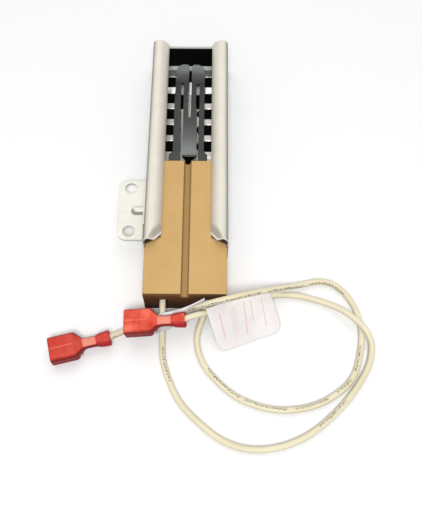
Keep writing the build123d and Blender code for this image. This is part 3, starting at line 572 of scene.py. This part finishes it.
def tube(name, pts, radius, start=0.0, sides=20, pitch=1.3 * MM):
    """Mesh tube with its seam underneath and a UV map that runs along it."""
    verts, faces, uvs = [], [], []
    normal = Vector((0, 0, -1))
    run = 0.0
    rings = []
    for i, p in enumerate(pts):
        t = (pts[min(i + 1, len(pts) - 1)] - pts[max(i - 1, 0)]).normalized()
        if i:
            run += (p - pts[i - 1]).length
        normal = (Vector((0, 0, -1)) - t * t.dot(Vector((0, 0, -1)))).normalized()
        side = t.cross(normal)
        ring = []
        for k in range(sides):
            a = 2 * math.pi * k / sides
            ring.append(len(verts))
            verts.append(p + (normal * math.cos(a) + side * math.sin(a)) * radius)
        rings.append((ring, start + run / pitch))
    for (r0, u0), (r1, u1) in zip(rings, rings[1:]):
        for k in range(sides):
            j = (k + 1) % sides
            faces.append((r0[k], r0[j], r1[j], r1[k]))
            uvs.append(((u0, k / sides), (u0, (k + 1) / sides), (u1, (k + 1) / sides), (u1, k / sides)))
    faces.append(tuple(reversed(rings[0][0])))
    uvs.append(tuple((start, 0.2) for _ in range(sides)))
    faces.append(tuple(rings[-1][0]))
    uvs.append(tuple((rings[-1][1], 0.2) for _ in range(sides)))
    mesh = bpy.data.meshes.new(name)
    mesh.from_pydata([tuple(v) for v in verts], [], faces)
    layer = mesh.uv_layers.new(name="along")
    for poly, quad in zip(mesh.polygons, uvs):
        for li, c in zip(poly.loop_indices, quad):
            layer.data[li].uv = c
        poly.use_smooth = len(poly.vertices) == 4
    mesh.update()
    bm = bmesh.new()
    bm.from_mesh(mesh)
    bmesh.ops.recalc_face_normals(bm, faces=bm.faces)
    bm.to_mesh(mesh)
    bm.free()
    obj = link(bpy.data.objects.new(name, mesh))
    mesh.materials.append(lead_mat)
    return obj


lead_objs = {}
for side, route in (("left", LEFT_ROUTE), ("right", RIGHT_ROUTE)):
    pts = spline_points(side + "_lead", route)
    length = sum((b - a).length for a, b in zip(pts, pts[1:]))
    obj = tube(side + "_lead_wire", pts, WIRE_D / 2 * MM, 0.0 if side == "left" else 400.0)
    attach(obj, "root")
    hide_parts(side + "_lead")
    lead_objs[side] = (obj, pts, length)
    print(side, "lead length", round(length * 1000, 1))

# ------------------------------------------------------------------ terminal housings
TERMS = {"left": ((5.75, -59.5, 8.65), (-14.5, -60.25, 6.2)),
         "right": ((-19.3, -64.15, 3.15), (-38.5, -69.1, 3.15))}
BODY_L, SHOULDER_L, NECK_L, BARREL_L = 8.6, 2.4, 4.6, 4.6
ROUND_POINTS = 72


def section(w, h, r):
    """Evenly spaced points of a rounded rectangle, starting at the middle of its top."""
    r = min(r, 0.98 * w / 2, 0.98 * h / 2)
    path = [(0.0, h / 2)]
    for cx, cy, start in ((w / 2 - r, h / 2 - r, 90), (w / 2 - r, r - h / 2, 0), (r - w / 2, r - h / 2, -90), (r - w / 2, h / 2 - r, -180)):
        for k in range(13):
            a = math.radians(start - 90 * k / 12)
            path.append((cx + r * math.cos(a), cy + r * math.sin(a)))
    path.append((0.0, h / 2))
    runs = [0.0]
    for (x0, y0), (x1, y1) in zip(path, path[1:]):
        runs.append(runs[-1] + math.hypot(x1 - x0, y1 - y0))
    out, j = [], 0
    for k in range(ROUND_POINTS):
        want = runs[-1] * k / ROUND_POINTS
        while runs[j + 1] < want:
            j += 1
        f = (want - runs[j]) / max(runs[j + 1] - runs[j], 1e-9)
        out.append((path[j][0] + (path[j + 1][0] - path[j][0]) * f, path[j][1] + (path[j + 1][1] - path[j][1]) * f))
    return out


def housing(side):
    z1 = BARREL_L
    z2 = z1 + NECK_L
    z3 = z2 + SHOULDER_L
    z4 = z3 + BODY_L
    skin = [  # distance from the barrel end, width, height, corner radius
        (3.2, 2.7, 2.7, 9), (1.2, 3.3, 3.3, 9), (0.15, 4.4, 4.4, 9), (0.0, 4.8, 4.7, 9), (0.2, 5.2, 5.05, 9), (1.0, 5.2, 5.0, 9),
        (2.4, 4.95, 4.75, 9), (z1 - 0.9, 4.6, 4.4, 9), (z1 - 0.35, 4.1, 3.95, 1.8), (z1 + 0.1, 3.6, 3.5, 1.5),
        (z1 + 1.2, 3.4, 3.3, 1.3), (z2 - 1.4, 3.4, 3.3, 1.3), (z2 - 0.5, 3.55, 3.4, 1.3), (z2, 4.0, 3.55, 1.3),
        (z2 + 0.8, 5.75, 4.25, 1.3), (z3 - 0.8, 7.2, 5.0, 1.3), (z3 - 0.15, 8.4, 5.55, 1.3), (z3 + 0.25, 8.6, 5.75, 1.25)]
    skin += [(z3 + 0.25 + (BODY_L - 0.55) * k / 14, 8.6, 5.75, 1.25) for k in range(1, 14)]
    skin += [(z4 - 0.3, 8.6, 5.75, 1.25), (z4 - 0.05, 8.5, 5.65, 1.2), (z4, 8.3, 5.45, 1.15), (z4 - 0.02, 7.5, 4.4, 1.0),
             (z4 - 0.4, 7.3, 4.0, 1.0), (z4 - 1.2, 7.2, 3.5, 0.9), (z3 - 0.2, 7.1, 3.3, 0.9), (z2 + 0.6, 4.6, 2.9, 1.0), (z2 + 0.4, 2.7, 2.7, 9)]
    body0, body1 = z3 - 0.2, z4
    p0, p1 = Vector(TERMS[side][0]), Vector(TERMS[side][1])
    ax = (p1 - p0).normalized()
    across = Vector((0, 0, 1)).cross(ax).normalized()
    high = ax.cross(across).normalized()
    mouth = next(i for i, ring in enumerate(skin) if ring[0] == z4)
    bm = bmesh.new()
    shell = bm.loops.layers.uv.new("shell")
    rings, where = [], {}
    for i, (z, w, h, r) in enumerate(skin):
        ring = []
        for k, (x, y) in enumerate(section(w, h, r)):
            if i < mouth and y > 0.6 * h / 2 and body0 < z < body1:
                t = ((z - body0) / (body1 - body0)) ** 0.752
                q = min(1.0, abs(x) / (w / 2 - 0.5))
                y += 0.36 * math.sin(math.pi * q) ** 0.6 * abs(math.sin(2 * math.pi * t)) ** 0.5 if 0 < q < 1 else 0.0
                y += 0.1 * (1 - q * q)
            vert = bm.verts.new((p0 + ax * z + across * x + high * y) * MM)
            where[vert] = (z, k / ROUND_POINTS)
            ring.append(vert)
        rings.append(ring)
    loop = rings + [rings[0]]
    for a, b in zip(loop, loop[1:]):
        n = len(a)
        for k in range(n):
            quad = (a[k], a[(k + 1) % n], b[(k + 1) % n], b[k])
            f = bm.faces.new(quad)
            for lp in f.loops:
                u, v = where[lp.vert]
                if k == n - 1 and v == 0.0:
                    v = 1.0
                lp[shell].uv = (u, v)
    bmesh.ops.recalc_face_normals(bm, faces=bm.faces)
    for f in bm.faces:
        f.smooth = True
    mesh = bpy.data.meshes.new(side + "_housing")
    bm.to_mesh(mesh)
    bm.free()
    mesh.materials.append(red_mat)
    obj = link(bpy.data.objects.new(side + "_housing", mesh))
    sub = obj.modifiers.new("smooth", "SUBSURF")
    sub.levels = sub.render_levels = 1
    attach(obj, "root")
    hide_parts(side + "_terminal_insulator")
    return obj


housings = {side: housing(side) for side in TERMS}


# ------------------------------------------------------------------ tag
def smooth_line(points, t):
    """Catmull-Rom through the points, t from 0 to 1."""
    n = len(points) - 1
    x = min(max(t, 0.0), 1.0) * n
    i = min(int(x), n - 1)
    f = x - i
    p = [Vector(points[min(max(j, 0), n)]) for j in (i - 1, i, i + 1, i + 2)]
    return 0.5 * ((2 * p[1]) + (p[2] - p[0]) * f + (2 * p[0] - 5 * p[1] + 4 * p[2] - p[3]) * f * f
                  + (3 * p[1] - p[0] - 3 * p[2] + p[3]) * f ** 3)


def strip(name, far, near, nu, nv, corner, bulge, nodes, start=0.0):
    rs, rt = corner
    verts, uvs = [], []
    for j in range(nv + 1):
        t = j / nv
        t = 0.5 - 0.5 * math.cos(math.pi * t)
        inset_l = inset_r = 0.0
        if t > 1 - rt:
            q = (t - (1 - rt)) / rt
            inset_l = inset_r = rs * (1 - math.sqrt(max(0.0, 1 - q * q)))
        if t < rt:
            q = (rt - t) / rt
            inset_r = rs * (1 - math.sqrt(max(0.0, 1 - q * q)))
        for i in range(nu + 1):
            s = inset_l + (1 - inset_l - inset_r) * i / nu
            p = smooth_line(far, s).lerp(smooth_line(near, s), t)
            p.z += bulge * 4 * t * (1 - t)
            verts.append(tuple(p * MM))
            uvs.append((start + s, t))
    faces = []
    for j in range(nv):
        for i in range(nu):
            a = j * (nu + 1) + i
            faces.append((a, a + nu + 1, a + nu + 2, a + 1))
    mesh = bpy.data.meshes.new(name)
    mesh.from_pydata(verts, [], faces)
    layer = mesh.uv_layers.new(name="sheet")
    for poly in mesh.polygons:
        poly.use_smooth = True
        for li, vi in zip(poly.loop_indices, poly.vertices):
            layer.data[li].uv = uvs[vi]
    mesh.materials.append(tag_mat)
    obj = link(bpy.data.objects.new(name, mesh))
    solid = obj.modifiers.new("thickness", "SOLIDIFY")
    solid.thickness = 0.00016
    solid.offset = -1
    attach(obj, "root")
    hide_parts(*nodes)
    return obj


flap = strip("tag_flap", [(12.2, -55.45, 8.1), (18.95, -52.75, 7.5), (21.93, -50.95, 6.9), (28.75, -48.4, 5.4), (33.6, -46.61, 4.4)],
             [(16.84, -68.1, 0.6), (22.3, -66.0, 0.4), (24.3, -65.25, 0.4), (31.13, -62.65, 0.4), (38.19, -60.17, 0.8)],
             36, 24, (0.16, 0.2), 0.4, ["lead_tag_flap"])
tail = strip("tag_tail", [(11.75, -53.0, 11.6), (7.1, -54.4, 8.6), (2.2, -55.6, 6.9), (-2.95, -56.6, 6.3), (-4.3, -57.0, 4.6), (-7.0, -58.0, 3.0)],
             [(11.95, -53.6, 10.95), (6.5, -55.9, 7.9), (1.0, -61.0, 4.7), (-2.9, -62.4, 4.0), (-4.4, -62.7, 3.4), (-8.2, -63.6, 2.6)],
             40, 8, (0.001, 0.01), 0.0, ["lead_tag_tail"], 2.0)

for side, end in (("left", LEFT_ROUTE), ("right", RIGHT_ROUTE)):
    obj, pts, length = lead_objs[side]
    on_it = [housings[side]] + [NODES[side + "_" + n] for n in ("receptacle", "crimp_ferrule", "conductor_end")]
    if side == "right":
        on_it += [flap, tail]

# ------------------------------------------------------------------ floor and light
bm = bmesh.new()
for x, y in ((-1.5, -1.5), (1.5, -1.5), (1.5, 1.5), (-1.5, 1.5)):
    bm.verts.new((x, y, -0.0002))
bm.faces.new(bm.verts)
floor_mesh = bpy.data.meshes.new("floor")
bm.to_mesh(floor_mesh)
bm.free()
floor_mesh.materials.append(floor_mat)
floor = link(bpy.data.objects.new("floor", floor_mesh))


def area(name, place, target, size, power, colour=(1, 1, 1)):
    data = bpy.data.lights.new(name, "AREA")
    data.shape = "DISK"
    data.size = size
    data.energy = power
    data.color = colour
    lamp = link(bpy.data.objects.new(name, data))
    lamp.location = place
    lamp.rotation_euler = (Vector(target) - Vector(place)).to_track_quat("-Z", "Y").to_euler()


area("softbox", (0.0, 0.42, 0.68), (0.0, 0.0, 0.0), 0.9, 2.1)
area("front", (0.02, -0.36, 0.6), (0.0, 0.0, 0.0), 0.22, 2.55)

world = bpy.data.worlds.new("studio")
world.use_nodes = True
bg = world.node_tree.nodes["Background"]
bg.inputs["Color"].default_value = (1, 1, 1, 1)
bg.inputs["Strength"].default_value = 0.42
bpy.context.scene.world = world
bpy.context.scene.view_settings.view_transform = "Standard"
bpy.context.scene.view_settings.look = "None"
